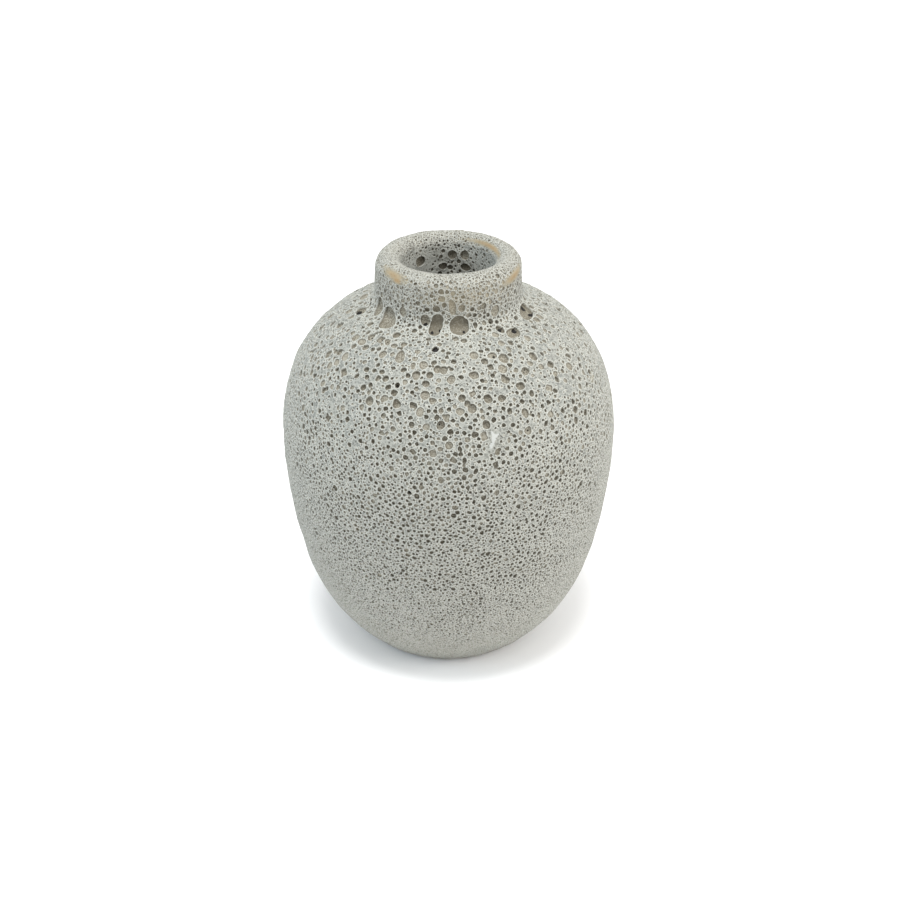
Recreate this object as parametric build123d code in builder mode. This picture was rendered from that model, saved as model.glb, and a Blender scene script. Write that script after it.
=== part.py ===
"""Crater-glazed ceramic bud vase.

A thrown stoneware body with a squat collar carries three fired coats: a smooth base glaze, the thick
foamed crater glaze over it, and a liner glaze inside. The frame's origin is the middle of the face that
the vase stands on, with +Z up the vase's axis. Each section lies in the XZ plane and is revolved around
Z. The coats follow the clay at a constant depth, so the outlines are one chain of arcs, moved inwards.
"""

import os
from math import asin, atan2, cos, degrees, radians, sin, sqrt

from build123d import *

# ---- Driving dimensions, in mm and degrees ---------------------------------------------------------

# The glazed outside
HEIGHT = 112.4
BELLY_RADIUS = 45.0  # where the vase is widest
BELLY_HEIGHT = 61.6
HEEL_ARC = 52.3  # arc radii of the outline, from the foot upwards
LOWER_ARC = 142.0
UPPER_ARC = 55.3
SHOULDER_ARC = 31.7
LOWER_SWEEP = 14.3  # how far the two belly arcs turn from the widest point
UPPER_SWEEP = 17.5
COLLAR_FILLET = 3.5  # the hollow between shoulder and collar
COLLAR_RADIUS = 18.7  # the collar just under the lip
COLLAR_LEAN = 3.5  # the collar widens downwards by this angle
LIP_ROLL = 3.3  # radius of the rounded lip, half its thickness

# The fired coats
BASE_COAT = 0.4
CRATER_COAT = 1.0
LINER_COAT = 0.4
GLAZE_EDGE = 0.7  # the outside coats stop at this height

# The clay
WALL = 4.6
BORE_END = 97.0  # height at which the coats inside the mouth give way to the liner
BORE_EDGE = 2.5  # rounding where the bore opens into the cavity
FLOOR_HEIGHT = 7.0
FLOOR_FILLET = 9.0
FOOT_RING = 5.2  # width of the ring that meets the table
FOOT_CHAMFER = 0.6
FOOT_RECESS = 2.0  # depth of the hollow under the base
RECESS_FILLET = 1.2

TOUCHING = 1e-6  # ends closer than this meet

# ---- Outline geometry ------------------------------------------------------------------------------


def along(start, angle, distance):
    """The point at a distance from start, in the direction of angle, measured from +X."""
    return start + Vector(cos(radians(angle)), sin(radians(angle))) * distance


def direction(start, end):
    """The angle of the line from start to end, measured from +X."""
    return degrees(atan2(end.Y - start.Y, end.X - start.X))


COATS = BASE_COAT + CRATER_COAT
INNER_DEPTH = COATS + WALL

lower_centre = Vector(BELLY_RADIUS - LOWER_ARC, BELLY_HEIGHT)
heel_centre = along(lower_centre, -LOWER_SWEEP, LOWER_ARC - HEEL_ARC)
upper_centre = Vector(BELLY_RADIUS - UPPER_ARC, BELLY_HEIGHT)
shoulder_centre = along(upper_centre, UPPER_SWEEP, UPPER_ARC - SHOULDER_ARC)
lip_centre = Vector(COLLAR_RADIUS - LIP_ROLL, HEIGHT - LIP_ROLL)

# The collar's hollow touches both the leaning collar and the shoulder: going down beside the collar, its
# centre is the first point that is SHOULDER_ARC + COLLAR_FILLET from the shoulder's centre.
beside_collar = along(lip_centre, COLLAR_LEAN, LIP_ROLL + COLLAR_FILLET)
down_collar = along(Vector(0, 0), COLLAR_LEAN - 90, 1)
from_shoulder = beside_collar - shoulder_centre
closest = -from_shoulder.dot(down_collar)
before_closest = sqrt(closest**2 - from_shoulder.dot(from_shoulder) + (SHOULDER_ARC + COLLAR_FILLET) ** 2)
hollow_centre = beside_collar + down_collar * (closest - before_closest)
shoulder_top = direction(shoulder_centre, hollow_centre)

# Where the outside arcs end near the foot
glaze_edge_angle = degrees(asin((GLAZE_EDGE - heel_centre.Y) / HEEL_ARC))
foot_angle = degrees(asin((FOOT_CHAMFER - heel_centre.Y) / (HEEL_ARC - COATS)))
foot_corner = along(heel_centre, foot_angle, HEEL_ARC - COATS)
ring_radius = foot_corner.X - FOOT_CHAMFER
recess_radius = ring_radius - FOOT_RING - FOOT_CHAMFER

# Inside, the same arcs again, with the bore's edge and the floor's corner fitted to them
bore_radius = lip_centre.X - LIP_ROLL + COATS
inner_shoulder = SHOULDER_ARC - INNER_DEPTH
edge_x = bore_radius + BORE_EDGE
edge_rise = sqrt((inner_shoulder + BORE_EDGE) ** 2 - (edge_x - shoulder_centre.X) ** 2)
edge_centre = Vector(edge_x, shoulder_centre.Y + edge_rise)
inner_shoulder_top = direction(shoulder_centre, edge_centre)

inner_heel = HEEL_ARC - INNER_DEPTH
corner_y = FLOOR_HEIGHT + FLOOR_FILLET
corner_reach = sqrt((inner_heel - FLOOR_FILLET) ** 2 - (heel_centre.Y - corner_y) ** 2)
corner_centre = Vector(heel_centre.X + corner_reach, corner_y)
corner_angle = direction(heel_centre, corner_centre)

# Each arc is its centre, radius, start and end angle, and how its radius changes per mm of depth. Depth
# runs from the outside glaze into the wall, and inside from the clay into the cavity.
ABOVE_HEEL = [
    (lower_centre, LOWER_ARC, -LOWER_SWEEP, 0, -1),
    (upper_centre, UPPER_ARC, 0, UPPER_SWEEP, -1),
    (shoulder_centre, SHOULDER_ARC, UPPER_SWEEP, shoulder_top, -1),
    (hollow_centre, COLLAR_FILLET, shoulder_top + 180, COLLAR_LEAN + 180, 1),
    (lip_centre, LIP_ROLL, COLLAR_LEAN, 180, -1),
]
GLAZED_OUTSIDE = [(heel_centre, HEEL_ARC, glaze_edge_angle, -LOWER_SWEEP, -1)] + ABOVE_HEEL
CLAY_OUTSIDE = [(heel_centre, HEEL_ARC, foot_angle, -LOWER_SWEEP, -1)] + ABOVE_HEEL
INSIDE = [
    (edge_centre, BORE_EDGE, 180, inner_shoulder_top + 180, 1),
    (shoulder_centre, inner_shoulder, inner_shoulder_top, UPPER_SWEEP, -1),
    (upper_centre, UPPER_ARC - INNER_DEPTH, UPPER_SWEEP, 0, -1),
    (lower_centre, LOWER_ARC - INNER_DEPTH, 0, -LOWER_SWEEP, -1),
    (heel_centre, inner_heel, -LOWER_SWEEP, corner_angle, -1),
    (corner_centre, FLOOR_FILLET, corner_angle, -90, -1),
]


def bore_end(depth):
    """Where the outside coats stop inside the mouth."""
    return Vector(bore_radius - COATS + depth, BORE_END)


def liner_start(depth):
    """Where the liner takes over from the outside coats."""
    return Vector(bore_radius - depth, BORE_END)


def floor_middle(depth):
    """The middle of the cavity's floor, on the axis."""
    return Vector(0, FLOOR_HEIGHT + depth)


def trace(arcs, depth, start=None, end=None):
    """Draws a chain of arcs at a depth, with straight runs between arcs that don't meet.

    start and end give the chain's two end points at that depth, where these aren't the arcs' own ends.
    Returns both end points.
    """
    first = start(depth) if start else None
    here = first
    for centre, radius, begin, stop, change in arcs:
        arc = CenterArc(centre, radius + change * depth, begin, stop - begin)
        if here is None:
            first = arc @ 0
        elif (arc @ 0 - here).length > TOUCHING:
            Line(here, arc @ 0)
        here = arc @ 1
    if end:
        Line(here, end(depth))
        here = end(depth)
    return first, here


def coat_section(arcs, outer_depth, inner_depth, start=None, end=None):
    """Draws the closed outline of a coat that lies between two depths of a chain."""
    outer_first, outer_last = trace(arcs, outer_depth, start, end)
    inner_first, inner_last = trace(arcs, inner_depth, start, end)
    Line(outer_first, inner_first)
    Line(outer_last, inner_last)


# ---- Stoneware body --------------------------------------------------------------------------------

with BuildPart() as stoneware_body:
    with BuildSketch(Plane.XZ) as clay_section:
        with BuildLine():
            trace(CLAY_OUTSIDE, COATS, end=bore_end)
            trace(INSIDE, 0, start=liner_start, end=floor_middle)
            FilletPolyline(
                floor_middle(0),
                (0, FOOT_RECESS),
                (recess_radius, FOOT_RECESS),
                (recess_radius, FOOT_CHAMFER),
                (recess_radius + FOOT_CHAMFER, 0),
                (ring_radius, 0),
                foot_corner,
                radius=(0, RECESS_FILLET, 0, 0, 0),
            )
        make_face()
    revolve(axis=Axis.Z)
stoneware_body.part.label = "stoneware_body"

# ---- Outside coats ---------------------------------------------------------------------------------

with BuildPart() as base_glaze:
    with BuildSketch(Plane.XZ) as base_section:
        with BuildLine():
            coat_section(GLAZED_OUTSIDE, CRATER_COAT, COATS, end=bore_end)
        make_face()
    revolve(axis=Axis.Z)
base_glaze.part.label = "base_glaze"

with BuildPart() as crater_glaze:
    with BuildSketch(Plane.XZ) as crater_section:
        with BuildLine():
            coat_section(GLAZED_OUTSIDE, 0, CRATER_COAT, end=bore_end)
        make_face()
    revolve(axis=Axis.Z)
crater_glaze.part.label = "crater_glaze"

# ---- Liner -----------------------------------------------------------------------------------------

with BuildPart() as liner_glaze:
    with BuildSketch(Plane.XZ) as liner_section:
        with BuildLine():
            coat_section(INSIDE, LINER_COAT, 0, start=liner_start, end=floor_middle)
        make_face()
    revolve(axis=Axis.Z)
liner_glaze.part.label = "liner_glaze"

# ---- Export ----------------------------------------------------------------------------------------

os.makedirs("parts", exist_ok=True)
for piece in (stoneware_body, base_glaze, crater_glaze, liner_glaze):
    export_step(piece.part, f"parts/{piece.part.label}.step")
    print(piece.part.label, round(piece.part.volume), "mm3")
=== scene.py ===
"""The looks of a crater-glazed ceramic bud vase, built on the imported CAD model.

The clay, the base coat and the liner are the CAD solids with fired materials. The crater glaze is made
here: a closed shell whose outside is broken by burst bubbles, from pools in the crease under the collar
to pinholes at the foot. The glaze is worked out in mm, on a raster of rows along the vase's outline and
columns around it, and becomes a mesh in metres at the end.
"""

import math

import bpy
import numpy as np
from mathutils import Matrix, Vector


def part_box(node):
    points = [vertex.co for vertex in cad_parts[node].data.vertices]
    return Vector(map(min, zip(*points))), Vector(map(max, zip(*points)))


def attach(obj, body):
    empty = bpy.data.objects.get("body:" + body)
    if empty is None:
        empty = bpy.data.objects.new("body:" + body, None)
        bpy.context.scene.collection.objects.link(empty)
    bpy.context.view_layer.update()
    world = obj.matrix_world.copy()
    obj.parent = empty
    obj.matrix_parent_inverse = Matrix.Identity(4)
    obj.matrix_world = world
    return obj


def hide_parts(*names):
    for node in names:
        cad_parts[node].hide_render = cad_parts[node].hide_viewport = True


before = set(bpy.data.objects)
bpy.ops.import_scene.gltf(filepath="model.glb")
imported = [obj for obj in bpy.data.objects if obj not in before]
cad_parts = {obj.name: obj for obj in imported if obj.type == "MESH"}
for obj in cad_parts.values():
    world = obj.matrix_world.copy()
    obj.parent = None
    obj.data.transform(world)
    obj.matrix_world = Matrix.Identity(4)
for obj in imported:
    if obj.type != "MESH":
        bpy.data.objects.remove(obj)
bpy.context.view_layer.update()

MM = 0.001
coat_low, coat_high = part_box("crater_glaze")

# ---- Outline of the glazed outside, as in the CAD: mm and degrees ----------------------------------

BELLY_RADIUS = coat_high.x / MM
HEIGHT = coat_high.z / MM
GLAZE_EDGE = coat_low.z / MM
BORE_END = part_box("liner_glaze")[1].z / MM
BELLY_HEIGHT = 61.6
HEEL_ARC = 52.3
LOWER_ARC = 142.0
UPPER_ARC = 55.3
SHOULDER_ARC = 31.7
LOWER_SWEEP = 14.3
UPPER_SWEEP = 17.5
COLLAR_FILLET = 3.5
COLLAR_RADIUS = 18.7
COLLAR_LEAN = 3.5
LIP_ROLL = 3.3
CRATER_COAT = 1.0

# ---- Raster of the glaze ---------------------------------------------------------------------------

STEP = 0.18  # mm between rows
COLUMNS = 1536
FINE = 0.02  # mm between the points that the rows are picked from
WIDE = 24.0  # mm from the axis, beyond which the mesh uses every column
NARROW = 12.5  # mm from the axis, up to which it uses every fourth, and every second in between
WAVES = 14  # waves that add up to a smooth random field
WAVE_LENGTHS = (0.7, 1.6)  # range of their lengths over the field's own length
SEED = 11

rng = np.random.default_rng(SEED)


def turn(degrees):
    """Unit vector at an angle. Points of the section are complex: distance from the axis, and height."""
    return np.exp(1j * np.radians(degrees))


def arc(centre, radius, begin, end):
    """Points along an arc and the directions away from its centre."""
    count = int(abs(math.radians(end - begin)) * radius / FINE) + 2
    directions = turn(np.linspace(begin, end, count))
    return centre + radius * directions, directions


def outline():
    """Distances, points and outward directions of the glazed outline, and the distance of the crease.

    It runs from the glaze's edge at the foot, up over the lip and down to the end of the bore.
    """
    belly = BELLY_RADIUS + 1j * BELLY_HEIGHT
    lower = belly - LOWER_ARC
    heel = lower + (LOWER_ARC - HEEL_ARC) * turn(-LOWER_SWEEP)
    upper = belly - UPPER_ARC
    shoulder = upper + (UPPER_ARC - SHOULDER_ARC) * turn(UPPER_SWEEP)
    lip = COLLAR_RADIUS - LIP_ROLL + 1j * (HEIGHT - LIP_ROLL)
    beside_collar = lip + (LIP_ROLL + COLLAR_FILLET) * turn(COLLAR_LEAN)
    down_collar = turn(COLLAR_LEAN - 90)
    gap = (beside_collar - shoulder) / down_collar
    drop = -gap.real - math.sqrt((SHOULDER_ARC + COLLAR_FILLET) ** 2 - gap.imag**2)
    hollow = beside_collar + down_collar * drop
    shoulder_top = np.degrees(np.angle(hollow - shoulder))
    foot_angle = math.degrees(math.asin((GLAZE_EDGE - heel.imag) / HEEL_ARC))

    convex = [
        arc(heel, HEEL_ARC, foot_angle, -LOWER_SWEEP),
        arc(lower, LOWER_ARC, -LOWER_SWEEP, 0),
        arc(upper, UPPER_ARC, 0, UPPER_SWEEP),
        arc(shoulder, SHOULDER_ARC, UPPER_SWEEP, shoulder_top),
    ]
    hollow_points, hollow_directions = arc(hollow, COLLAR_FILLET, shoulder_top + 180, COLLAR_LEAN + 180)
    lip_points, lip_directions = arc(lip, LIP_ROLL, COLLAR_LEAN, 180)
    bore_bottom = lip.real - LIP_ROLL + 1j * BORE_END
    points = np.concatenate([p for p, _ in convex] + [hollow_points, lip_points, [bore_bottom]])
    directions = np.concatenate([d for _, d in convex] + [-hollow_directions, lip_directions, [-1]])
    distances = np.concatenate([[0], np.cumsum(abs(np.diff(points)))])

    crease = distances[np.argmin(abs(points - hollow_points[len(hollow_points) // 2]))]
    rows = np.linspace(0, distances[-1], round(distances[-1] / STEP) + 1)
    row_directions = np.interp(rows, distances, directions)
    return rows, np.interp(rows, distances, points), row_directions / abs(row_directions), crease


row_distance, row_point, row_direction, crease_distance = outline()
row_radius = row_point.real
from_crease = row_distance - crease_distance  # mm along the outline, negative on the shoulder
ROWS = len(row_distance)
column_azimuth = np.arange(COLUMNS) * 2 * math.pi / COLUMNS  # radians from the front, towards +X
row_stride = np.where(row_radius > WIDE, 1, np.where(row_radius > NARROW, 2, 4))
row_cell = np.sqrt(STEP * row_radius * row_stride * 2 * math.pi / COLUMNS)  # mm, size of a mesh cell


def swell(length):
    """A smooth random field over the glaze, mostly from -1 to 1, that changes over a length in mm."""
    x = row_radius[:, None] * np.sin(column_azimuth)
    y = -row_radius[:, None] * np.cos(column_azimuth)
    z = row_point.imag[:, None]
    total = np.zeros((ROWS, COLUMNS), np.float32)
    for _ in range(WAVES):
        way = rng.normal(size=3)
        way *= 2 * math.pi / (length * rng.uniform(*WAVE_LENGTHS)) / np.linalg.norm(way)
        total += np.cos(way[0] * x + way[1] * y + way[2] * z + rng.uniform(0, 2 * math.pi))
    return total / math.sqrt(WAVES)


# ---- Patches ---------------------------------------------------------------------------------------

# Each patch: azimuth (degrees), mm from the crease, half lengths across and along (mm), slant (degrees)
# and strength.
WORN_PATCHES = [
    (-48, 11.0, 7.4, 2.1, -5, 0.8),
    (-43, 10.2, 2.6, 1.2, -5, 1.1),
    (62, 9.5, 8.2, 1.9, 8, 0.9),
    (121, 17.2, 13.5, 1.2, 0, 0.9),
    (10, 7.6, 20.0, 5.5, 0, 0.3),
    (67, -26.0, 3.0, 2.2, 0, 0.35),
    (-31, -57.0, 6.0, 4.5, 0, 0.2),
]
CHIPS = [
    (15.1, -30.2, 0.8, 1.1, -10, 1.0),
    (15.0, -29.4, 0.4, 1.1, 10, 0.9),
    (16.3, -29.6, 1.1, 0.4, 30, 0.9),
    (14.3, -31.7, 0.45, 1.2, -25, 0.9),
]
OUTSIDE = -2.0  # stands for no patch nearby

# How the glaze's colour is darkened or paled, at distances in mm from the crease: 1 is darker, where the
# glaze is thin on the collar and as painted shade towards the foot, and -1 is paler, as painted light inside
# the mouth.
THINNESS_AND_SHADING = np.array([(-95, 0.72), (-45, 0.31), (-22, 0.05), (0, 0), (6, 1), (18.3, 1), (20.3, -1)])

# No bubbles burst where the glaze is more worn than this, or this near to a chip.
BARE_WEAR = 0.35
NEAR_CHIP = -1.3


def patches(places):
    """How far into a patch each point is: 0 on its edge, its strength in the middle, negative outside."""
    total = np.full((ROWS, COLUMNS), OUTSIDE, np.float32)
    for azimuth, distance, half_across, half_along, slant, strength in places:
        turned = np.angle(np.exp(1j * (column_azimuth - math.radians(azimuth))))
        way = (turned * row_radius[:, None] + 1j * (from_crease[:, None] - distance)) * turn(-slant)
        depth = strength * (1 - np.hypot(way.real / half_across, way.imag / half_along))
        total = np.maximum(total, depth)
    return total


thin = np.interp(from_crease, THINNESS_AND_SHADING[:, 0], THINNESS_AND_SHADING[:, 1])
worn = patches(WORN_PATCHES)  # the glaze is rubbed down, so that the tan clay shows
chip = patches(CHIPS)  # knocked off down to white
smooth = (worn > BARE_WEAR) | (chip > NEAR_CHIP)

# ---- Pits ------------------------------------------------------------------------------------------

FAR = 9.0  # mm, stands for no pit nearby
TINY = 1e-6  # keeps the middle of a pit from a division by 0
ANY_ANGLE = 6.3  # radians, just over a full turn

# A pit's distances are worked out as far as its rim can reach and some way beside it.
RIM_REACH = 1.2  # reach of a rim without lobes or tail, over the pit's half width
BESIDE_RIM = 1.5  # mm beside the rim, or the pit's half width if that is less
PAST_RIM = 0.4  # mm beside the rim, added for every pit
TAIL_REACH = 2  # half heights over which a tail narrows

# How the mesh follows a pit's wall, in mesh cells inwards from the rim. Points within ON_RIM of the rim
# slide onto it. Points up to SLIDE_MOST inside it slide to WALL_FOOT, and those further in slide less and
# less, down to nothing at SLIDE_END. So the wall is steep and its edge is clean.
ON_RIM = 0.5
WALL_FOOT = 0.3
SLIDE_MOST = 1.3
SLIDE_END = 3.0
MIDDLE_SHARE = 0.6  # share of the radius over which the slide dies out around the pit's middle

WALL_SHARE = 0.74  # the wall's share of a pit's depth; the rest is the bowl of its floor
LIP_WIDTH = 0.28  # mm, how far the raised lip runs out
LIP_RADII = (0.2, 1.2)  # mm, range of pit radii within which the lip's height follows the radius


class Pits:
    """A layer of pits.

    For each raster point it keeps what the point needs of its nearest pit: the distance to the rim, negative
    inside, the way out from the pit's middle, and the pit's size and looks.
    """

    def __init__(self):
        self.near = np.full((ROWS, COLUMNS), FAR, np.float32)
        self.along = np.zeros((ROWS, COLUMNS), np.float32)
        self.across = np.zeros((ROWS, COLUMNS), np.float32)
        self.radius = np.ones((ROWS, COLUMNS), np.float32)
        self.depth = np.zeros((ROWS, COLUMNS), np.float32)
        self.tone = np.zeros((ROWS, COLUMNS), np.float32)

    def dig(self, row, column, width, height, depth, tone, slant=0.0, lobes=0.06, tail=0.0):
        """Adds one pit.

        width and height are mm across and along, slant turns it (degrees), lobes is how uneven its rim is,
        and tail draws its upper end out. tone runs from a dark floor, 0, to a pale one, 1.
        """
        half = max(width, height) / 2
        reach = half * (RIM_REACH + 2 * lobes + tail) + min(half, BESIDE_RIM) + PAST_RIM
        row_half = int(reach / STEP) + 1
        column_step = row_radius[row] * 2 * math.pi / COLUMNS
        column_half = min(int(reach / column_step) + 1, COLUMNS // 2 - 1)
        rows = np.arange(max(row - row_half, 0), min(row + row_half + 1, ROWS))
        offsets = np.arange(-column_half, column_half + 1)
        window = np.ix_(rows, (column + offsets) % COLUMNS)

        along = ((rows - row) * STEP)[:, None] + 0 * offsets
        across = row_radius[rows][:, None] * offsets * (2 * math.pi / COLUMNS)
        spin = turn(-slant)
        way = (across + 1j * along) * spin
        scaled = way.real / (width / 2) + 1j * way.imag / (height / 2)
        if tail:
            narrowing = 1 + tail * np.clip(scaled.imag, 0, TAIL_REACH)
            scaled = scaled.real * narrowing + 1j * scaled.imag / (1 + tail)
        angle = np.angle(scaled)
        edge = 1 + np.zeros_like(angle)
        for order in (2, 3, 4):
            edge += lobes * rng.normal() / order**0.5 * np.cos(order * angle + rng.uniform(0, ANY_ANGLE))
        size = np.abs(scaled) + TINY
        out = np.abs(way) + TINY
        distance = out * (1 - edge / size)

        nearer = distance < self.near[window]
        for field, value in (
            (self.near, distance),
            (self.along, along / out),
            (self.across, across / out),
            (self.radius, math.sqrt(width * height) / 2),
            (self.depth, depth),
            (self.tone, tone),
        ):
            field[window] = np.where(nearer, value, field[window])

    def shape(self, lip):
        """Height of the surface in mm, and the slide along it that puts a ring of points on each rim.

        lip is the height of the rim in mm per mm of the pit's radius.
        """
        cell = row_cell[:, None]
        inward = -self.near / cell
        on_rim = np.abs(inward) < ON_RIM
        inside = inward >= ON_RIM
        fading = np.maximum(SLIDE_END - inward, 0) / (SLIDE_END - SLIDE_MOST)
        push = np.where(inward < SLIDE_MOST, inward - WALL_FOOT, fading)
        from_middle = (self.radius + self.near) / (MIDDLE_SHARE * self.radius)
        push = np.where(inside, push * np.clip(from_middle, 0, 1), 0)
        slide = np.where(on_rim, inward, push) * cell
        level = np.clip((self.near + slide) / self.radius, -1, 0)
        floor = -self.depth * (WALL_SHARE + (1 - WALL_SHARE) * (1 - (1 + level) ** 2))
        rise = lip * np.clip(self.radius, *LIP_RADII) * np.exp(-((self.near / LIP_WIDTH) ** 2))
        return np.where(inside, floor, rise), slide


pits = Pits()
# The floors of these holes are painted near black in the material, as their shade.
holes = Pits()  # dark bubbles that opened in the floor of a larger pit


def row_at(distance):
    """Row at a distance along the outline from the crease, in mm."""
    return int(np.argmin(abs(from_crease - distance)))


def column_at(azimuth):
    """Column at an azimuth in degrees."""
    return round(azimuth / 360 * COLUMNS) % COLUMNS


# The pools in the crease, the largest pits near the front and those inside the mouth, given one by one:
# azimuth in degrees, mm along the outline from the crease, width, height, depth (mm), tone, slant (degrees)
# and tail.
POOLS = [
    (5.3, 0.5, 3.2, 4.2, 0.85, -0.15, 0, 0),
    (10.5, 0.4, 3.2, 4.0, 0.85, -0.15, 0, 0),
    (8.0, 0.4, 4.2, 5.4, 0.85, -0.15, 0, 0),
    (-7.8, 2.0, 2.9, 3.0, 0.85, -0.30, 0, 0),
    (-8.7, 0.7, 3.1, 3.6, 0.85, -0.30, -10, 0),
    (-9.7, -0.8, 3.1, 3.4, 0.85, -0.30, -20, 0),
    (-17, 1.8, 2.6, 2.9, 0.80, 0.45, 0, 0),
    (-47.5, -0.7, 4.9, 6.8, 0.80, 0.30, 28, 0),
    (-63.5, 1.0, 3.5, 5.4, 0.70, 0.35, 12, 0),
    (-76.3, -3.6, 4.2, 3.0, 0.90, 0.25, -5, 0),
    (-97, -2.8, 4.0, 2.4, 0.30, 0.75, 0, 0),
    (35.8, -2.5, 2.1, 3.0, 0.90, -0.30, 0, 0),
    (42, -4.8, 4.6, 3.3, 0.75, 0.15, 12, 0),
    (68.5, -1.7, 7.2, 3.9, 0.85, 0.15, 23, 0),
    (37.3, 2.8, 2.7, 3.0, 0.20, 0.55, 0, 0),
    (-7, -6.8, 1.9, 1.9, 0.92, -0.50, 0, 0),
    (-16, 4.4, 1.4, 1.2, 0.80, 0.00, 0, 0),
    (-9, 4.7, 2.0, 1.7, 0.70, 0.25, 0, 0),
    (3, 5.4, 1.9, 3.6, 0.25, 0.45, 10, 0.2),
    (10, 5.0, 1.8, 2.0, 0.40, 0.40, 0, 0),
    (18, 4.4, 1.3, 1.2, 0.60, 0.20, 0, 0),
    (-5, 7.4, 1.9, 1.6, 0.25, 0.45, 0, 0),
    (-36, 2.6, 2.2, 2.5, 0.35, 0.45, 0, 0),
    (-33, -4.0, 2.1, 2.4, 0.85, 0.10, -20, 0),
    (-55, -9.4, 2.4, 2.4, 0.45, 0.70, 0, 0),
    (-33, -10.7, 2.1, 2.3, 0.60, 0.60, 0, 0),
    (-24, -10.1, 2.5, 3.5, 0.65, 0.55, 10, 0.1),
    (-30, -7.4, 1.9, 1.5, 0.55, 0.55, 0, 0),
    (-25, -6.4, 1.9, 1.6, 0.60, 0.45, 15, 0),
    (-5, -12.5, 1.9, 2.3, 0.75, 0.25, 0, 0),
    (-2, -12.7, 2.0, 2.4, 0.75, 0.40, 0, 0),
    (-8, -14.2, 1.8, 2.0, 0.80, 0.10, 0, 0),
    (-9, -19.4, 2.3, 2.4, 0.55, 0.65, 0, 0),
    (-10, -23.4, 2.0, 2.3, 0.30, 0.85, 0, 0),
    (42, -12.9, 2.3, 2.6, 0.80, 0.20, 0, 0),
    (27, -11.0, 2.6, 2.9, 0.75, 0.50, 0, 0),
    (22, -9.6, 2.4, 2.1, 0.60, 0.55, 0, 0),
    (13, -8.9, 2.3, 2.5, 0.50, 0.65, 0, 0),
    (11, -14.3, 2.6, 2.2, 0.75, 0.45, 0, 0),
    (28, -25.6, 1.9, 2.5, 0.55, 0.55, 15, 0),
    (-142, 22.6, 3.2, 2.9, 0.85, 0.30, 0, 0),
    (175, 21.7, 2.5, 2.6, 0.80, 0.30, 0, 0),
    (159, 21.5, 2.6, 2.7, 0.50, 0.60, 0, 0),
    (-173, 25.0, 2.3, 2.0, 0.90, 0.00, 0, 0),
    (178, 25.2, 1.6, 1.4, 0.90, 0.00, 0, 0),
    (158, 25.0, 3.0, 2.1, 0.90, 0.00, 0, 0),
]
POOL_LOBES = 0.05  # how uneven their rims are

# Holes in the floors of pools, painted near black as their shade: azimuth (degrees), mm from the crease, and
# width (mm).
FLOOR_HOLES = [
    (-17, 0.5, 1.1),
    (73.5, -0.6, 1.5),
    (71, -2.9, 1.5),
    (44.7, -4.0, 1.4),
    (11, -0.8, 0.7),
    (-11.5, -0.9, 0.8),
    (-6, -0.4, 0.7),
    (36.5, -2.0, 1.0),
    (-7, -6.5, 1.4),
    (-78.5, -4.3, 1.5),
]
FLOOR_HOLE_DEPTH = 0.3  # mm

# How the burst bubbles vary along the outline: mm from the crease, typical width in mm, spread of widths,
# share of the surface that they take, and how deep and pale they are.
GRAIN = np.array(
    [
        (-116, 0.40, 0.20, 0.26, 0.30, 0.90),
        (-100, 0.48, 0.22, 0.40, 0.50, 0.75),
        (-85, 0.55, 0.25, 0.44, 0.90, 0.45),
        (-60, 0.68, 0.26, 0.45, 1.00, 0.38),
        (-38, 0.81, 0.27, 0.42, 0.90, 0.52),
        (-22, 1.04, 0.38, 0.38, 0.97, 0.55),
        (-8, 1.12, 0.45, 0.37, 1.00, 0.50),
        (0, 0.80, 0.40, 0.38, 0.95, 0.50),
        (4, 0.74, 0.32, 0.50, 0.65, 0.60),
        (9, 0.62, 0.26, 0.50, 0.52, 0.65),
        (14, 0.46, 0.25, 0.32, 0.80, 0.50),
        (19, 0.50, 0.30, 0.24, 1.00, 0.40),
        (32, 0.65, 0.45, 0.26, 1.00, 0.30),
    ]
)
SMALLEST_PIT = 0.30  # mm wide
LARGEST_SHARE = 2.2  # the largest pit's width over the typical width
SMALL_SHARE = 0.45  # share of the pits that are small
SMALL_SIZE = 0.5  # width of a small pit over that of another
SIZE_SWING = 0.08  # how much larger the pits of one region are than those of another
SIZE_LENGTH = 11.0  # mm, typical size of such a region
CLUSTER_LENGTH = 7.0  # mm, typical size of a region with more pits or fewer
RUN = ((-90, -20), (1.12, 1.0))  # mm from the crease, and how tall the glaze's run makes a pit there

# Where a pit goes: near the place drawn for it, or nowhere if none of the tries finds room.
TRIES = 16
TRY_ROWS = 8  # typical distance of a try from the place, in rows
TRY_COLUMNS = 16  # and in columns
CROWDED = 0.15  # typical share of tries that are refused, to leave some of the glaze whole
MERGED = 0.08  # share of the pits that may run into a neighbour
OVERLAP = 0.4  # how far they may, over their radius
THINNEST_WALL = 0.03  # mm of glaze that stands between the other pits
WALL_SHARES = (0.05, 0.4)  # range of what is added to it, over the pit's radius

# How deep and pale a pit is
DEPTH_LEAST = 0.12  # mm
DEPTH_SHARE = 1.25  # mm more per mm of radius
DEPTH_MOST = 0.95  # mm
SHALLOW = 0.35  # share of shallow pits where the tone is typical
TYPICAL_TONE = 0.45
SHALLOW_DEPTHS = (0.3, 0.6)  # range of a shallow pit's depth over the full depth
DEEP_DEPTHS = (0.8, 1.0)  # range of another pit's depth over the full depth
TONES = (-0.3, 0.2)  # range of what is added to the row's tone
SHALLOW_TONE = 0.25  # what is added besides for a shallow pit

# How uneven a pit's outline is
STRETCH = 0.06  # typical change of its height over its width
SLANT = 30  # degrees, typical
LOBES = (0.04, 0.09)  # range for the smallest pits
LARGE_LOBES = 0.6  # how much more uneven a pit is per mm of radius
LOBED_RADIUS = 1.0  # mm, up to which this counts
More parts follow.
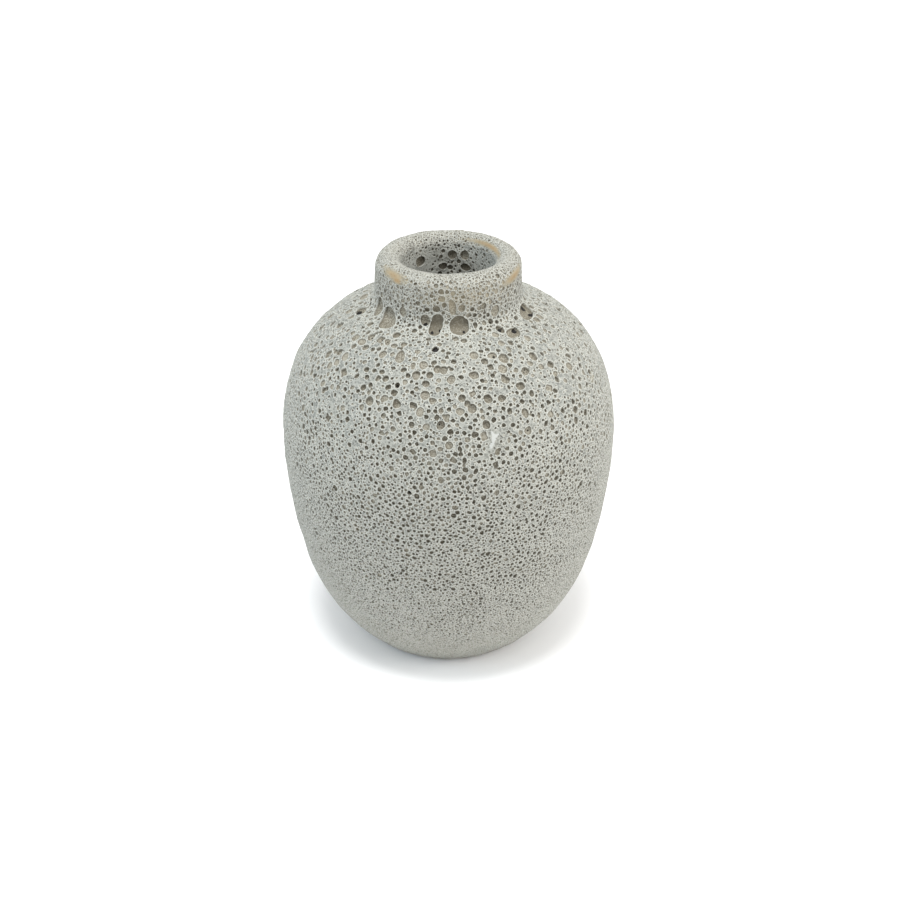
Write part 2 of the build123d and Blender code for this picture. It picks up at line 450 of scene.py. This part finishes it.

# Holes in the floors of random pits, painted near black as their shade. Sizes in mm
HOLE_COUNT = 120
HOLE_WIDTHS = (0.4, 0.7)
HOLE_DEPTH = 0.25
HOLE_TO_RIM = 0.5  # a hole's least distance to its pit's rim
HOLED_DEPTH = 0.45  # least depth of a pit that gets one
HOLED_RADIUS = 1.3  # largest radius of a pit that gets one


def grain(kind):
    """One column of GRAIN for every row."""
    return np.interp(from_crease, GRAIN[:, 0], GRAIN[:, kind])


def dig_pools():
    """The pits that are listed one by one."""
    for azimuth, distance, width, height, depth, tone, slant, tail in POOLS:
        place = row_at(distance), column_at(azimuth)
        pits.dig(*place, width, height, depth, tone, slant, POOL_LOBES, tail)
    for azimuth, distance, width in FLOOR_HOLES:
        holes.dig(row_at(distance), column_at(azimuth), width, width, FLOOR_HOLE_DEPTH, 0.0)


def dig_random_pit(row, column, radius, row_depth, row_tone, row_run):
    """One burst bubble with random looks, around those that are typical for its row."""
    shallow = rng.random() < SHALLOW * row_tone / TYPICAL_TONE
    deepest = min(DEPTH_LEAST + DEPTH_SHARE * radius, DEPTH_MOST) * row_depth
    depth = deepest * rng.uniform(*(SHALLOW_DEPTHS if shallow else DEEP_DEPTHS))
    tone = row_tone + rng.uniform(*TONES) + (SHALLOW_TONE if shallow else 0)
    stretch = row_run * math.exp(rng.normal(0, STRETCH))
    slant = rng.normal(0, SLANT)
    lobes = rng.uniform(*LOBES) * (1 + LARGE_LOBES * min(radius, LOBED_RADIUS))
    pits.dig(row, column, 2 * radius / stretch, 2 * radius * stretch, depth, tone, slant, lobes)


def scatter_pits():
    """Random pits, largest first, most of them kept clear of the rims that are there already."""
    width, spread, share, depth, tone = (grain(kind) for kind in range(1, 6))
    clustering = swell(CLUSTER_LENGTH)
    sizing = swell(SIZE_LENGTH)
    run = np.interp(from_crease, *RUN)
    mean_area = math.pi / 4 * width**2 * np.exp(2 * spread**2) * (1 - (1 - SMALL_SIZE**2) * SMALL_SHARE)
    per_row = share / mean_area * STEP * 2 * math.pi * row_radius
    count = int(per_row.sum())
    rows = rng.choice(ROWS, count, p=per_row / per_row.sum())
    columns = rng.integers(0, COLUMNS, count)
    scatter = spread[rows] * rng.normal(size=count) + SIZE_SWING * sizing[rows, columns]
    widths = width[rows] * np.exp(scatter)
    widths *= np.where(rng.random(count) < SMALL_SHARE, SMALL_SIZE, 1.0)
    widths = np.clip(widths, SMALLEST_PIT, LARGEST_SHARE * width[rows])
    for pit in np.argsort(-widths):
        radius = widths[pit] / 2
        merged = rng.random() < MERGED
        wall = -OVERLAP * radius if merged else THINNEST_WALL + radius * rng.uniform(*WALL_SHARES)
        for _ in range(TRIES):
            row = int(np.clip(rows[pit] + rng.normal(0, TRY_ROWS), 0, ROWS - 1))
            column = int(columns[pit] + rng.normal(0, TRY_COLUMNS)) % COLUMNS
            crowded = rng.random() < CROWDED * (1 + clustering[row, column])
            if pits.near[row, column] > radius + wall and not crowded and not smooth[row, column]:
                dig_random_pit(row, column, radius, depth[row], tone[row], run[row])
                break


def open_floor_holes():
    """Small holes in the floors of some of the middling pits, painted near black as their shade."""
    roomy = (pits.near < -HOLE_TO_RIM) & (pits.depth > HOLED_DEPTH) & (pits.radius < HOLED_RADIUS)
    places = np.argwhere(roomy)
    for row, column in places[rng.choice(len(places), min(HOLE_COUNT, len(places)), replace=False)]:
        width = rng.uniform(*HOLE_WIDTHS)
        if holes.near[row, column] > width:
            holes.dig(row, column, width, width, HOLE_DEPTH, 0.0)


dig_pools()
scatter_pits()
open_floor_holes()

# ---- The relief and what the material needs of it --------------------------------------------------

RIM_LIP = 0.08  # mm of raised rim per mm of pit radius
UNDULATION = 0.07  # mm, typical height of the glaze's waves
UNDULATION_LENGTH = 6.0
RIPPLE = 0.35  # height of the finer ripples over that of the waves
RIPPLE_LENGTH = 1.7
DEEPEST_SHARE = 0.92  # the deepest pit over the coat's thickness, so that the shell stays closed
GAP_LIMITS = (-1, 1)  # mm, as far from a rim as the material looks

pit_height, pit_slide = pits.shape(RIM_LIP)
hole_height, hole_slide = holes.shape(0.0)
glaze_height = pit_height + hole_height + UNDULATION * swell(UNDULATION_LENGTH)
glaze_height = glaze_height + RIPPLE * UNDULATION * swell(RIPPLE_LENGTH)
glaze_height = np.maximum(glaze_height, -DEEPEST_SHARE * CRATER_COAT)
slide_along = pits.along * pit_slide + holes.along * hole_slide
slide_across = pits.across * pit_slide + holes.across * hole_slide
rim_gap = np.clip(pits.near + pit_slide, *GAP_LIMITS)  # mm from the nearest rim, negative in a pit
hole_gap = np.clip(holes.near + hole_slide, *GAP_LIMITS)

# ---- The mesh of the crater glaze ------------------------------------------------------------------

HIDDEN_STRIDE = 4  # rows and columns of the raster per row and column of the shell's hidden face
FOOT_STRIDE = 2  # columns per vertex of the ring at the foot, between the two faces
OUTER_SHARE = 0.93  # the outside's share of the UV map's height
HIDDEN_SHARE = 0.8  # the hidden face's share of the rest
MAP_GAP = 0.01  # left free between the two
FOOT_V = 0.997  # where the ring at the foot lies
ATTRIBUTES = ("gap", "hole", "tone", "thin", "worn", "chip")


class Shell:
    """Rings of vertices around the axis, joined into one closed shell of triangles."""

    def __init__(self):
        self.parts = []
        self.triangles = []
        self.count = 0

    def add(self, section, direction, azimuth, map_v, height=0.0, along=0.0, across=0.0, **fields):
        """Adds rows of vertices and returns their indices.

        section, direction and map_v have one value a row, azimuth has one a column, and the rest spread
        over both.
        """
        shape = (len(section), len(azimuth))
        tangent = (direction * -1j)[:, None] * np.ones(shape)
        point = section[:, None] + direction[:, None] * height - tangent * along
        turned = azimuth + across / section.real[:, None]
        position = (point.real * np.sin(turned), -point.real * np.cos(turned), point.imag + 0 * turned)
        values = {"x": position[0], "y": position[1], "z": position[2], "h": height + np.zeros(shape)}
        values["u"] = azimuth / (2 * math.pi) + np.zeros(shape)
        values["v"] = map_v[:, None] + np.zeros(shape)
        for name in ATTRIBUTES:
            values[name] = fields.get(name, 0.0) + np.zeros(shape)
        self.parts.append({name: value.astype(np.float32).ravel() for name, value in values.items()})
        index = self.count + np.arange(shape[0] * shape[1]).reshape(shape)
        self.count += index.size
        return index

    def skin(self, index):
        """Triangles between the rows of one block. Each quad is split along its more level diagonal."""
        height = self.parts[-1]["h"].reshape(index.shape)
        right = np.roll(index, -1, axis=1)
        right_height = np.roll(height, -1, axis=1)
        a, b, c, d = index[:-1], right[:-1], right[1:], index[1:]
        level = abs(height[:-1] - right_height[1:]) < abs(right_height[:-1] - height[1:])
        first = np.where(level[..., None], np.stack([a, b, c], -1), np.stack([a, b, d], -1))
        second = np.where(level[..., None], np.stack([a, c, d], -1), np.stack([b, c, d], -1))
        self.triangles += [first.reshape(-1, 3), second.reshape(-1, 3)]

    def join(self, before, after):
        """Triangles between two rings that have as many vertices, or one twice as many as the other."""
        if len(before) == len(after):
            a, b, c, d = before, np.roll(before, -1), np.roll(after, -1), after
            made = [np.stack([a, b, c], -1), np.stack([a, c, d], -1)]
        else:
            fine, coarse = (before, after) if len(before) > len(after) else (after, before)
            f0, f1, f2 = fine[0::2], fine[1::2], np.roll(fine[0::2], -1)
            c0, c1 = coarse, np.roll(coarse, -1)
            made = [np.stack([f0, f1, c0], -1), np.stack([f1, c1, c0], -1), np.stack([f1, f2, c1], -1)]
            if len(before) < len(after):
                made = [triangle[:, ::-1] for triangle in made]
        self.triangles += made

    def mesh(self, name):
        """The Blender mesh, with its attributes and an unwrapped UV map."""
        values = {key: np.concatenate([part[key] for part in self.parts]) for key in self.parts[0]}
        triangles = np.concatenate(self.triangles).astype(np.int32)
        mesh = bpy.data.meshes.new(name)
        mesh.vertices.add(self.count)
        positions = np.stack([values["x"], values["y"], values["z"]], -1) * MM
        mesh.vertices.foreach_set("co", positions.astype(np.float32).ravel())
        mesh.loops.add(triangles.size)
        mesh.loops.foreach_set("vertex_index", triangles.ravel())
        mesh.polygons.add(len(triangles))
        mesh.polygons.foreach_set("loop_start", np.arange(0, triangles.size, 3, dtype=np.int32))
        mesh.polygons.foreach_set("use_smooth", np.ones(len(triangles), bool))
        for attribute in ATTRIBUTES:
            layer = mesh.attributes.new(attribute, "FLOAT", "POINT")
            layer.data.foreach_set("value", values[attribute])
        unwrapped = []
        for axis in ("u", "v"):
            corner = values[axis][triangles]
            crosses = (corner.max(1) - corner.min(1) > 0.5)[:, None]
            unwrapped.append(np.where(crosses & (corner < 0.5), corner + 1, corner))
        uv = mesh.uv_layers.new(name="OFBake")
        uv.data.foreach_set("uv", np.stack(unwrapped, -1).astype(np.float32).ravel())
        mesh.update(calc_edges=True)
        return mesh


def add_outside(shell):
    """Adds the pitted outside, in blocks of rows that have one stride.

    Returns its rings at the foot and in the bore.
    """
    map_v = OUTER_SHARE * row_distance / row_distance[-1]
    ends = []
    changes = [row for row in range(1, ROWS) if row_stride[row] != row_stride[row - 1]]
    for start, end in zip([0, *changes], [*changes, ROWS]):
        rows = slice(start, end)
        stride = row_stride[start]
        pick = np.s_[start:end, ::stride]
        block = shell.add(
            row_point[rows],
            row_direction[rows],
            column_azimuth[::stride],
            map_v[rows],
            height=glaze_height[pick],
            along=slide_along[pick],
            across=slide_across[pick],
            gap=rim_gap[pick],
            hole=hole_gap[pick],
            tone=pits.tone[pick],
            thin=thin[rows, None],
            worn=worn[pick],
            chip=chip[pick],
        )
        shell.skin(block)
        if ends:
            shell.join(ends[-1], block[0])
        ends += [block[0], block[-1]]
    return ends[0], ends[-1]


def crater_shell():
    """The pitted outside, the plain hidden face behind it, and the strips that close the two ends."""
    shell = Shell()
    foot_ring, bore_ring = add_outside(shell)
    hidden_rows = np.unique(np.append(np.arange(0, ROWS, HIDDEN_STRIDE), ROWS - 1))[::-1]
    hidden_point = row_point - CRATER_COAT * row_direction
    down_bore = 1 - row_distance[hidden_rows] / row_distance[-1]
    hidden = shell.add(
        hidden_point[hidden_rows],
        row_direction[hidden_rows],
        column_azimuth[::HIDDEN_STRIDE],
        OUTER_SHARE + (1 - OUTER_SHARE) * HIDDEN_SHARE * down_bore + MAP_GAP,
    )
    shell.skin(hidden)
    shell.join(bore_ring, hidden[0])
    halfway = row_point[:1] - CRATER_COAT / 2 * row_direction[:1]
    middle = shell.add(halfway, row_direction[:1], column_azimuth[::FOOT_STRIDE], np.array([FOOT_V]))
    shell.join(hidden[-1], middle[0])
    shell.join(middle[0], foot_ring)
    return shell.mesh("crater_foam")


foam = bpy.data.objects.new("crater_foam", crater_shell())
bpy.context.scene.collection.objects.link(foam)
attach(foam, "root")
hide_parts("crater_glaze")

# ---- Materials -------------------------------------------------------------------------------------


class Shader:
    """A material's nodes, with short calls for the ones that are used here."""

    def __init__(self, name, specular=0.5):
        self.material = bpy.data.materials.new(name)
        self.material.use_nodes = True
        self.nodes = self.material.node_tree.nodes
        self.links = self.material.node_tree.links
        self.surface = self.nodes["Principled BSDF"]
        self.surface.inputs["Specular IOR Level"].default_value = specular
        self.place = self.nodes.new("ShaderNodeTexCoord").outputs["Object"]

    def put(self, socket, value):
        """Links an output to a socket, or sets the socket's own value."""
        if isinstance(value, bpy.types.NodeSocket):
            self.links.new(value, socket)
        else:
            socket.default_value = value

    def attribute(self, name):
        """A number stored on the mesh."""
        node = self.nodes.new("ShaderNodeAttribute")
        node.attribute_name = name
        return node.outputs["Fac"]

    def noise(self, size, detail=3.0, roughness=0.55):
        """Noise whose features are about size mm."""
        node = self.nodes.new("ShaderNodeTexNoise")
        self.links.new(self.place, node.inputs["Vector"])
        node.inputs["Scale"].default_value = 1 / (size * MM)
        node.inputs["Detail"].default_value = detail
        node.inputs["Roughness"].default_value = roughness
        return node.outputs["Fac"]

    def cells(self, size):
        """Distance to the middle of random cells about size mm apart, and each cell's random value."""
        node = self.nodes.new("ShaderNodeTexVoronoi")
        self.links.new(self.place, node.inputs["Vector"])
        node.inputs["Scale"].default_value = 1 / (size * MM)
        split = self.nodes.new("ShaderNodeSeparateColor")
        self.links.new(node.outputs["Color"], split.inputs["Color"])
        return node.outputs["Distance"], split.outputs["Red"]

    def ramp(self, value, low, high, bottom=0.0, top=1.0):
        """Maps low..high to bottom..top smoothly, and clamps."""
        node = self.nodes.new("ShaderNodeMapRange")
        node.interpolation_type = "SMOOTHSTEP"
        self.put(node.inputs["Value"], value)
        limits = {"From Min": low, "From Max": high, "To Min": bottom, "To Max": top}
        for socket, limit in limits.items():
            node.inputs[socket].default_value = limit
        return node.outputs["Result"]

    def math(self, operation, *values):
        """The result of one arithmetic operation on numbers and sockets."""
        node = self.nodes.new("ShaderNodeMath")
        node.operation = operation
        for socket, value in zip(node.inputs, values):
            self.put(socket, value)
        return node.outputs["Value"]

    def times(self, first, second):
        """The product of two values."""
        return self.math("MULTIPLY", first, second)

    def mix(self, factor, first, second):
        """Mixes two colours, each a socket or an (r, g, b)."""
        node = self.nodes.new("ShaderNodeMix")
        node.data_type = "RGBA"
        colours = [socket for socket in node.inputs if socket.type == "RGBA"]
        self.put(node.inputs["Factor"], factor)
        for socket, colour in zip(colours, (first, second)):
            self.put(socket, colour if isinstance(colour, bpy.types.NodeSocket) else (*colour, 1.0))
        return [socket for socket in node.outputs if socket.type == "RGBA"][0]

    def bump(self, height, distance, strength):
        """Bump from a height of 0 to 1 that stands for distance mm. Stacks on the bump made before it."""
        node = self.nodes.new("ShaderNodeBump")
        node.inputs["Strength"].default_value = strength
        node.inputs["Distance"].default_value = distance * MM
        self.links.new(height, node.inputs["Height"])
        previous = self.surface.inputs["Normal"].links
        if previous:
            self.links.new(previous[0].from_socket, node.inputs["Normal"])
        self.links.new(node.outputs["Normal"], self.surface.inputs["Normal"])

    def finish(self, colour, roughness):
        """Gives the surface its colour and roughness, and returns the material."""
        self.put(self.surface.inputs["Base Color"], colour)
        self.put(self.surface.inputs["Roughness"], roughness)
        return self.material


# Colours, linear
PALE_GLAZE = (0.183, 0.186, 0.165)
COOL_GLAZE = (0.161, 0.168, 0.154)
# Darker glaze: thin on the collar, and painted shade towards the foot
THIN_GLAZE_AND_SHADE = (0.105, 0.094, 0.075)
WHITE_RIM = (0.395, 0.40, 0.362)
CHIP_WHITE = (0.37, 0.38, 0.36)
DARK_FLOOR = (0.124, 0.111, 0.081)
PALE_FLOOR = (0.257, 0.243, 0.198)
# Painted shade up the walls of the pits
PIT_WALL_SHADE = (0.058, 0.05, 0.033)
# Painted shade: the near-black floor of a deep hole
HOLE_SHADE = (0.007, 0.006, 0.005)
# Pinholes: partly the undercoat showing, and partly painted shade in the tiny holes
PINHOLE_SHADE = (0.038, 0.033, 0.024)
TAN_CLAY = (0.25, 0.215, 0.142)
DEEP_TAN = (0.26, 0.18, 0.09)
DARK_CLAY = (0.33, 0.245, 0.155)
PALE_CLAY = (0.38, 0.28, 0.175)
IRON_SPECK = (0.14, 0.09, 0.06)

# Sizes in mm
MOTTLE = 7.0
COARSE_CELLS = 0.62
FINE_CELLS = 0.36
STAIN = 0.35
WEAR_GRAIN = 1.0
CHIP_GRAIN = 0.8
GLAZE_GRAIN = 0.25
GRAIN_HEIGHT = 0.05
PINHOLE_DEPTH = 0.15
CLAY_MOTTLE = 6.0
SPECK_CELLS = 0.9
SAND = 0.4
SAND_HEIGHT = 0.06
SATIN_MOTTLE = 4.0
SATIN_WAVES = 1.5
SATIN_HEIGHT = 0.04
SATIN_SHEEN = 2.0

# Distances from a rim in mm, negative in the pit
PIT_EDGE = (0.02, -0.05)  # where the floor's colour takes over
WHITE_BAND = (0.24, 0.06)  # where the glaze turns white towards the rim
# The floor's darkening towards the wall is painted shade.
WALL_BAND = (-0.22, -0.04)  # where the floor turns dark towards the wall

# Distances from the middle of a cell, as a share of the cells' size, over which a look fades in
NET_BAND = (0.30, 0.70)
COARSE_HOLE = (0.26, 0.18)
FINE_HOLE = (0.33, 0.22)
SPECK = (0.25, 0.12)

# Each cell has a random value, 0 to 1, and these are the values over which it gains the look
COARSE_CHANCE = (0.4, 0.6)
FINE_CHANCE = (0.40, 0.64)
SPECK_CHANCE = (0.7, 0.8)

# Values of a noise, 0 to 1, over which a look fades in
MOTTLE_RANGE = (0.35, 0.65)
STAIN_RANGE = (0.36, 0.64)
WEAR_RANGE = (0.15, 0.5)
CHIP_RANGE = (0.3, 0.7)
SATIN_RANGE = (0.3, 0.7)

STAIN_TONES = (-0.7, 0.7)  # what a stain adds to its pit's tone
CHIP_RAGGED = (-0.45, 0.35)  # what the grain adds to a chip's depth, to make its edge ragged

# Depths in a patch, as patches() gives them, over which a look fades in
DEEP_WEAR = (BARE_WEAR, 0.95)  # where worn clay turns deep tan
WEAR_EDGE = (0.1, 0.6)
CHIP_EDGE = (-0.05, 0.3)

# How strongly each look shows, 0 to 1
# The next share darkens where the glaze is thin on the collar, and towards the foot as painted shade; the one
# after pales the inside of the mouth as painted light.
THIN_AND_SHADE_SHARE = 0.55
BORE_LIGHT_SHARE = 0.8
NET_SHARE = 0.42
RIM_SHARE = 0.9
# The white rims are weaker on the thin collar and where the foot is painted in shade.
THIN_AND_SHADE_RIM_SHARE = 0.65  # of the white rim, where the glaze is thin
# How strongly the pinholes' dark colour, partly painted shade, shows on the glaze
PINHOLE_SHADE_SHARE = 0.96
FINE_SHARE = 0.78  # of the finer pinholes
FLOOR_SHARE = 0.25  # of the pinholes, in a pit
# How strongly the painted shade up the pits' walls shows
WALL_SHADE_SHARE = 0.45
WORN_FLOOR_SHARE = 0.6
WORN_SHARE = 0.9

GLAZE_ROUGHNESS = 0.75
FLOOR_ROUGHNESS = 0.6
CLAY_ROUGHNESS = 0.85
SATIN_ROUGHNESS = (0.28, 0.45)
PAPER_ROUGHNESS = 0.9


def glaze_top(shader, gap, coarse):
    """The glaze between the pits: mottled, darker where thin on the collar and with painted shade towards the
    foot, paler inside the mouth as painted light, with white rims and a fine white net between the coarse
    cells.
    """
    mottle = shader.ramp(shader.noise(MOTTLE, detail=4.0), *MOTTLE_RANGE)
    top = shader.mix(mottle, COOL_GLAZE, PALE_GLAZE)
    thin = shader.attribute("thin")
    # Darker where the glaze is thin on the collar and, as painted shade, towards the foot
    top = shader.mix(shader.ramp(thin, 0.0, 1.0, 0.0, THIN_AND_SHADE_SHARE), top, THIN_GLAZE_AND_SHADE)
    # Paler inside the mouth: painted light
    top = shader.mix(shader.ramp(thin, 0.0, -1.0, 0.0, BORE_LIGHT_SHARE), top, WHITE_RIM)
    top = shader.mix(shader.ramp(coarse, *NET_BAND, 0.0, NET_SHARE), top, WHITE_RIM)
    rim = shader.ramp(gap, *WHITE_BAND, 0.0, RIM_SHARE)
    # The white rims are weaker on the thin collar and where the foot is painted in shade
    return shader.mix(shader.times(rim, shader.ramp(thin, 0.0, 1.0, 1.0, THIN_AND_SHADE_RIM_SHARE)), top, WHITE_RIM)


def glaze_pinholes(shader, in_pit, coarse, coarse_chance):
    """Where the glaze has pinholes, 0 to 1: in the middle of some coarse cells and of some finer ones."""
    fine, fine_chance = shader.cells(FINE_CELLS)
    coarse_hole = shader.times(shader.ramp(coarse, *COARSE_HOLE), shader.ramp(coarse_chance, *COARSE_CHANCE))
    fine_hole = shader.times(shader.ramp(fine, *FINE_HOLE), shader.ramp(fine_chance, *FINE_CHANCE))
    pinholes = shader.math("MAXIMUM", coarse_hole, shader.times(fine_hole, FINE_SHARE))
    return shader.times(pinholes, shader.ramp(in_pit, 0.0, 1.0, 1.0, FLOOR_SHARE))


def pit_floor(shader, gap, pinholes, worn):
    """The undercoat in the pits: stained, with painted shade up the walls, in the pinholes and, near black,
    in the holes, and tan where the glaze is worn.
    """
    stain = shader.ramp(shader.noise(STAIN, detail=4.0), *STAIN_RANGE, *STAIN_TONES)
    bottom = shader.mix(shader.math("ADD", shader.attribute("tone"), stain), DARK_FLOOR, PALE_FLOOR)
    # Pinholes in the floor: painted shade
    bottom = shader.mix(pinholes, bottom, PINHOLE_SHADE)
    # Painted shade: the floor darkens up the pit's walls
    bottom = shader.mix(shader.ramp(gap, *WALL_BAND, 0.0, WALL_SHADE_SHARE), bottom, PIT_WALL_SHADE)
    bottom = shader.mix(shader.ramp(worn, 0.0, BARE_WEAR, 0.0, WORN_FLOOR_SHARE), bottom, TAN_CLAY)
    # Painted shade: near black in the holes
    return shader.mix(shader.ramp(shader.attribute("hole"), *PIT_EDGE), bottom, HOLE_SHADE)


def damage(shader, colour, worn):
    """Tan clay over the colour where the glaze is worn, and white where it is chipped."""
    grain = shader.ramp(shader.noise(WEAR_GRAIN, detail=6.0, roughness=0.7), *WEAR_RANGE)
    clay = shader.mix(shader.ramp(worn, *DEEP_WEAR), TAN_CLAY, DEEP_TAN)
    wear = shader.ramp(shader.times(worn, grain), *WEAR_EDGE, 0.0, WORN_SHARE)
    colour = shader.mix(wear, colour, clay)
    ragged = shader.ramp(shader.noise(CHIP_GRAIN), *CHIP_RANGE, *CHIP_RAGGED)
    chipped = shader.math("ADD", shader.attribute("chip"), ragged)
    return shader.mix(shader.ramp(chipped, *CHIP_EDGE), colour, CHIP_WHITE)


def crater_material():
    """Matte foamed glaze that shows a darker undercoat in its pits."""
    shader = Shader("crater_glaze_foamed", specular=0.3)
    gap = shader.attribute("gap")
    worn = shader.attribute("worn")
    in_pit = shader.ramp(gap, *PIT_EDGE)
    coarse, coarse_chance = shader.cells(COARSE_CELLS)
    pinholes = glaze_pinholes(shader, in_pit, coarse, coarse_chance)
    # Pinholes in the glaze: dark colour that is partly the undercoat and partly painted shade
    top = shader.mix(shader.times(pinholes, PINHOLE_SHADE_SHARE), glaze_top(shader, gap, coarse), PINHOLE_SHADE)
    colour = shader.mix(in_pit, top, pit_floor(shader, gap, pinholes, worn))
    colour = damage(shader, colour, worn)
    shader.bump(shader.noise(GLAZE_GRAIN), GRAIN_HEIGHT, strength=0.6)
    shader.bump(shader.math("SUBTRACT", 1.0, pinholes), PINHOLE_DEPTH, strength=0.7)
    return shader.finish(colour, shader.ramp(in_pit, 0.2, 0.8, GLAZE_ROUGHNESS, FLOOR_ROUGHNESS))


def stoneware_material():
    """Bare fired clay with iron specks and a sanded grain."""
    shader = Shader("bare_stoneware")
    mottle = shader.ramp(shader.noise(CLAY_MOTTLE, detail=4.0), *MOTTLE_RANGE)
    body = shader.mix(mottle, DARK_CLAY, PALE_CLAY)
    distance, chance = shader.cells(SPECK_CELLS)
    speck = shader.times(shader.ramp(distance, *SPECK), shader.ramp(chance, *SPECK_CHANCE))
    shader.bump(shader.noise(SAND, detail=4.0), SAND_HEIGHT, strength=0.8)
    return shader.finish(shader.mix(speck, body, IRON_SPECK), CLAY_ROUGHNESS)


def satin_material(name):
    """A smooth satin coat with a slight mottle."""
    shader = Shader(name)
    mottle = shader.ramp(shader.noise(SATIN_MOTTLE, detail=4.0), *SATIN_RANGE)
    shader.bump(shader.noise(SATIN_WAVES, detail=2.0), SATIN_HEIGHT, strength=0.5)
    sheen = shader.ramp(shader.noise(SATIN_SHEEN), *SATIN_RANGE, *SATIN_ROUGHNESS)
    return shader.finish(shader.mix(mottle, DARK_FLOOR, PALE_FLOOR), sheen)


def paint(node, material):
    """Gives a CAD node one material."""
    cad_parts[node].data.materials.clear()
    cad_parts[node].data.materials.append(material)


foam.data.materials.append(crater_material())
paint("stoneware_body", stoneware_material())
paint("base_glaze", satin_material("base_glaze_satin"))
paint("liner_glaze", satin_material("liner_glaze_satin"))

# ---- Floor, light and camera -----------------------------------------------------------------------

# Lengths here are in metres, where nothing else is said.
STAGE_RADIUS = 3.0
STAGE_CORNERS = 64
DARK_PAPER = (0.90, 0.90, 0.90)
LIGHT_PAPER = (0.92, 0.92, 0.92)
PAPER_MOTTLE = 400.0  # mm

# Each light: name, position, size, power in W, colour.
LIGHTS = [
    ("overhead", (-0.03, -0.15, 0.85), 0.35, 6.6, (1.0, 1.0, 1.0)),
    ("right_fill", (0.9, -0.25, 0.4), 0.5, 5.0, (1.0, 0.98, 0.96)),
    ("left_fill", (-0.9, -0.25, 0.4), 0.5, 2.5, (0.60, 0.82, 1.0)),
]

CAMERA_DISTANCE = 0.350
CAMERA_ELEVATION = math.radians(30.1)
CAMERA_AIM = (0.0004, 0.0, 0.0541)
CAMERA_LENS = 50.44  # mm
SENSOR = 36.0  # mm wide
NEAREST = 0.01  # least distance that the camera shows


def paper_floor():
    """A round sheet of white paper under the vase."""
    mesh = bpy.data.meshes.new("floor")
    turns = [corner * 2 * math.pi / STAGE_CORNERS for corner in range(STAGE_CORNERS)]
    rim = [(STAGE_RADIUS * math.cos(t), STAGE_RADIUS * math.sin(t), 0.0) for t in turns]
    mesh.from_pydata(rim, [], [list(range(len(rim)))])
    disc = bpy.data.objects.new("floor", mesh)
    bpy.context.scene.collection.objects.link(disc)
    shader = Shader("floor_paper", specular=0.1)
    colour = shader.mix(shader.noise(PAPER_MOTTLE, detail=2.0), DARK_PAPER, LIGHT_PAPER)
    disc.data.materials.append(shader.finish(colour, PAPER_ROUGHNESS))


def soft_light(name, position, size, power, colour):
    """An area light that faces the vase's middle."""
    light = bpy.data.lights.new(name, "AREA")
    light.shape = "DISK"
    light.size = size
    light.energy = power
    light.color = colour
    lamp = bpy.data.objects.new(name, light)
    lamp.location = position
    middle = (coat_low + coat_high) / 2
    lamp.rotation_euler = (middle - lamp.location).to_track_quat("-Z", "Y").to_euler()
    bpy.context.scene.collection.objects.link(lamp)


def white_world():
    """Even white light from all around."""
    world = bpy.data.worlds.new("studio")
    world.use_nodes = True
    background = world.node_tree.nodes["Background"]
    background.inputs["Color"].default_value = (1.0, 1.0, 1.0, 1.0)
    background.inputs["Strength"].default_value = 1.0
    bpy.context.scene.world = world


def camera():
    """The photo's camera: in front of the vase, and looking down at it."""
    eye = bpy.data.cameras.new("camera")
    eye.sensor_width = SENSOR
    eye.lens = CAMERA_LENS
    eye.clip_start = NEAREST
    holder = bpy.data.objects.new("camera", eye)
    back = CAMERA_DISTANCE * math.cos(CAMERA_ELEVATION)
    up = CAMERA_DISTANCE * math.sin(CAMERA_ELEVATION)
    holder.location = (CAMERA_AIM[0], CAMERA_AIM[1] - back, CAMERA_AIM[2] + up)
    holder.rotation_euler = (math.pi / 2 - CAMERA_ELEVATION, 0.0, 0.0)
    bpy.context.scene.collection.objects.link(holder)
    bpy.context.scene.camera = holder


paper_floor()
white_world()
for light in LIGHTS:
    soft_light(*light)
camera()
bpy.context.scene.view_settings.view_transform = "Standard"
